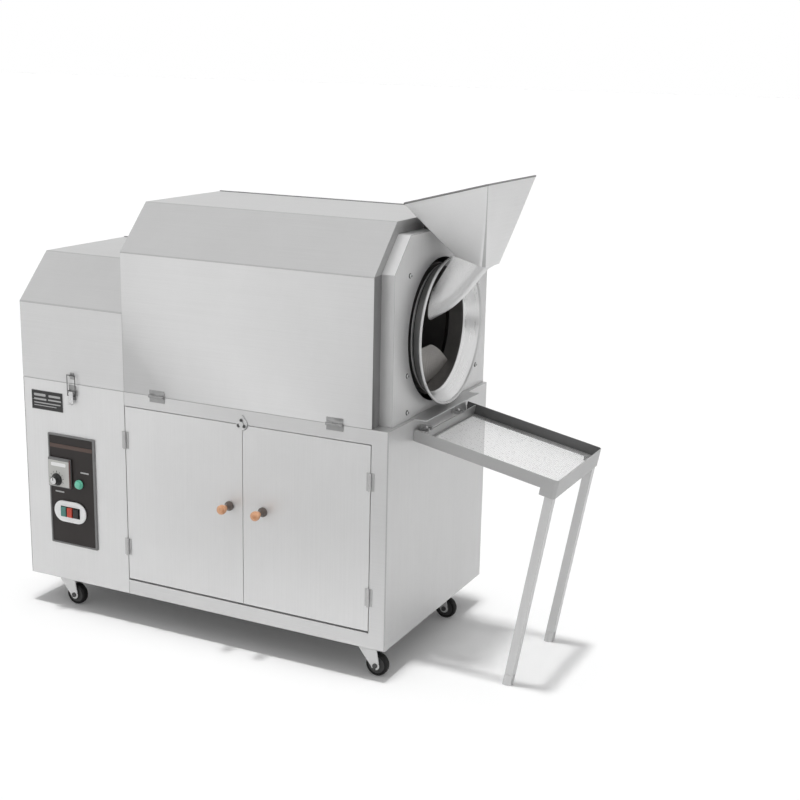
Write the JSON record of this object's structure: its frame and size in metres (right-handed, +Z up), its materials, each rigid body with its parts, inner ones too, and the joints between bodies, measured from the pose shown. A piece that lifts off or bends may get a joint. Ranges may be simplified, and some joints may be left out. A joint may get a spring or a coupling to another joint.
{
  "type": "nut roasting machine",
  "caption": "Floor-standing nut roasting machine: rotating drum under a hinged hood, feed hopper, chain drive, two-door cabinet on casters and a sloping outfeed tray.",
  "frame": {"origin": "On the floor, under the middle of the machine's overall length and depth.", "axes": "+X along the machine towards the drum mouth and tray, +Y from the doors to the back, +Z up."},
  "size_m": [1.4962, 0.664, 1.2325],
  "materials": {
    "painted_steel": "smooth light grey enamel",
    "sheet_steel": "satin stainless",
    "polished_steel": "polished",
    "dark_steel": "heat darkened",
    "machined_steel": "machined",
    "cast_housing": "cast housing enamel",
    "black_plastic": "matt",
    "light_plastic": "gloss",
    "green_plastic": "gloss",
    "red_plastic": "gloss",
    "turned_wood": "varnished",
    "tyre_rubber": "matt",
    "zinc_plate": "zinc plated"
  },
  "bodies": {
    "machine_base": {"frame": "machined_steel", "floor_plate": "sheet_steel", "left_side_panel": "painted_steel", "back_panel": "painted_steel", "right_side_panel": "painted_steel", "control_side_panel": "painted_steel", "door_surround": "painted_steel", "deck_plate": "sheet_steel", "partition_wall": "sheet_steel", "end_box": "sheet_steel", "heater_pan": "dark_steel", "heating_elements": "dark_steel", "shaft_bearing": "cast_housing", "gearmotor": "cast_housing", "drive_chain": "machined_steel", "roller_brackets": "machined_steel", "hopper": "sheet_steel", "feed_spout": "sheet_steel", "discharge_lip": "sheet_steel", "control_panel": "black_plastic", "temperature_controller": "light_plastic", "pilot_lamp": "green_plastic", "switch_plate": "light_plastic", "nameplate": "machined_steel", "latch_base": "zinc_plate", "hinge_fixed_leaves": "zinc_plate", "cable_gland": "black_plastic", "end_plate_bolts": "zinc_plate"},
    "drum": {"drum_shell": "dark_steel", "drum_flights": "machined_steel", "drum_shaft": "machined_steel", "mouth_ring": "polished_steel", "drum_sprocket": "machined_steel"},
    "motor_sprocket": {"motor_sprocket": "machined_steel"},
    "front_roller": {"front_roller": "machined_steel"},
    "rear_roller": {"rear_roller": "machined_steel"},
    "left_door": {"left_door": "painted_steel", "left_knob": "turned_wood"},
    "right_door": {"right_door": "painted_steel", "right_knob": "turned_wood"},
    "turn_button": {"turn_button": "zinc_plate"},
    "hood": {"hood": "sheet_steel"},
    "drive_cover": {"drive_cover": "painted_steel"},
    "latch_lever": {"latch_lever": "zinc_plate"},
    "latch_bail": {"latch_bail": "zinc_plate"},
    "controller_knob": {"controller_knob": "black_plastic"},
    "green_button": {"green_button": "green_plastic"},
    "red_button": {"red_button": "red_plastic"},
    "black_button": {"black_button": "black_plastic"},
    "tray": {"tray_frame": "sheet_steel", "tray_mesh": "sheet_steel", "tray_legs": "machined_steel"},
    "caster_1_fork": {"caster_1_fork": "zinc_plate"},
    "caster_1_wheel": {"caster_1_wheel": "tyre_rubber"},
    "caster_2_fork": {"caster_2_fork": "zinc_plate"},
    "caster_2_wheel": {"caster_2_wheel": "tyre_rubber"},
    "caster_3_fork": {"caster_3_fork": "zinc_plate"},
    "caster_3_wheel": {"caster_3_wheel": "tyre_rubber"},
    "caster_4_fork": {"caster_4_fork": "zinc_plate"},
    "caster_4_wheel": {"caster_4_wheel": "tyre_rubber"}
  },
  "joints": [
    {"name": "drum_spin", "type": "hinge", "parent": "machine_base", "child": "drum", "pos_m": [-0.04808, 0.014, 0.849], "axis": [1, 0, 0], "continuous": true, "deforming": ["drive_chain"]},
    {"name": "motor_sprocket_spin", "type": "hinge", "parent": "machine_base", "child": "motor_sprocket", "pos_m": [-0.48008, 0.014, 0.39441], "axis": [1, 0, 0], "continuous": true},
    {"name": "front_roller_spin", "type": "hinge", "parent": "machine_base", "child": "front_roller", "pos_m": [0.32992, -0.09687, 0.69066], "axis": [1, 0, 0], "continuous": true},
    {"name": "rear_roller_spin", "type": "hinge", "parent": "machine_base", "child": "rear_roller", "pos_m": [0.32992, 0.12487, 0.69066], "axis": [1, 0, 0], "continuous": true},
    {"name": "left_door_hinge", "type": "hinge", "parent": "machine_base", "child": "left_door", "pos_m": [-0.40933, -0.2904, 0.37], "axis": [0, 0, -1], "range_deg": [0, 110]},
    {"name": "right_door_hinge", "type": "hinge", "parent": "machine_base", "child": "right_door", "pos_m": [0.31917, -0.2904, 0.37], "axis": [0, 0, 1], "range_deg": [0, 110]},
    {"name": "turn_button_turn", "type": "hinge", "parent": "machine_base", "child": "turn_button", "pos_m": [-0.04508, -0.288, 0.614], "axis": [0, 1, 0], "range_deg": [0, 180]},
    {"name": "hood_hinge", "type": "hinge", "parent": "machine_base", "child": "hood", "pos_m": [-0.04208, -0.2904, 0.6503], "axis": [1, 0, 0], "range_deg": [0, 70]},
    {"name": "drive_cover_hinge", "type": "hinge", "parent": "machine_base", "child": "drive_cover", "pos_m": [-0.57908, 0.3184, 0.6503], "axis": [-1, 0, 0], "range_deg": [0, 80]},
    {"name": "latch_lever_pivot", "type": "hinge", "parent": "machine_base", "child": "latch_lever", "pos_m": [-0.57908, -0.292, 0.628], "axis": [-1, 0, 0], "range_deg": [0, 150]},
    {"name": "latch_bail_pivot", "type": "hinge", "parent": "latch_lever", "child": "latch_bail", "pos_m": [-0.57908, -0.292, 0.618], "axis": [-1, 0, 0], "range_deg": [-150, 0]},
    {"name": "controller_knob_turn", "type": "hinge", "parent": "machine_base", "child": "controller_knob", "pos_m": [-0.63808, -0.302, 0.376], "axis": [0, 1, 0], "range_deg": [0, 270]},
    {"name": "green_button_press", "type": "slide", "parent": "machine_base", "child": "green_button", "axis": [0, 1, 0], "range_m": [0, 0.004], "stiffness_N_per_m": 600},
    {"name": "red_button_press", "type": "slide", "parent": "machine_base", "child": "red_button", "axis": [0, 1, 0], "range_m": [0, 0.004], "stiffness_N_per_m": 600},
    {"name": "black_button_press", "type": "slide", "parent": "machine_base", "child": "black_button", "axis": [0, 1, 0], "range_m": [0, 0.004], "stiffness_N_per_m": 600},
    {"name": "tray_lift", "type": "hinge", "parent": "machine_base", "child": "tray", "pos_m": [0.37792, 0.014, 0.621], "axis": [0, -1, 0], "range_deg": [0, 40]},
    {"name": "caster_1_swivel", "type": "hinge", "parent": "machine_base", "child": "caster_1_fork", "pos_m": [-0.64408, -0.246, 0.07], "axis": [0, 0, 1], "continuous": true},
    {"name": "caster_1_roll", "type": "hinge", "parent": "caster_1_fork", "child": "caster_1_wheel", "pos_m": [-0.62208, -0.246, 0.03], "axis": [0, 1, 0], "continuous": true},
    {"name": "caster_2_swivel", "type": "hinge", "parent": "machine_base", "child": "caster_2_fork", "pos_m": [0.30592, -0.246, 0.07], "axis": [0, 0, 1], "continuous": true},
    {"name": "caster_2_roll", "type": "hinge", "parent": "caster_2_fork", "child": "caster_2_wheel", "pos_m": [0.32792, -0.246, 0.03], "axis": [0, 1, 0], "continuous": true},
    {"name": "caster_3_swivel", "type": "hinge", "parent": "machine_base", "child": "caster_3_fork", "pos_m": [-0.64408, 0.171, 0.07], "axis": [0, 0, 1], "continuous": true},
    {"name": "caster_3_roll", "type": "hinge", "parent": "caster_3_fork", "child": "caster_3_wheel", "pos_m": [-0.62208, 0.171, 0.03], "axis": [0, 1, 0], "continuous": true},
    {"name": "caster_4_swivel", "type": "hinge", "parent": "machine_base", "child": "caster_4_fork", "pos_m": [0.30592, 0.171, 0.07], "axis": [0, 0, 1], "continuous": true},
    {"name": "caster_4_roll", "type": "hinge", "parent": "caster_4_fork", "child": "caster_4_wheel", "pos_m": [0.32792, 0.171, 0.03], "axis": [0, 1, 0], "continuous": true}
  ],
  "couplings": [
    {"joint": "motor_sprocket_spin", "follows": "drum_spin", "ratio": 2},
    {"joint": "front_roller_spin", "follows": "drum_spin", "ratio": -6.72},
    {"joint": "rear_roller_spin", "follows": "drum_spin", "ratio": -6.72},
    {"joint": "latch_bail_pivot", "follows": "latch_lever_pivot", "ratio": -1}
  ]
}
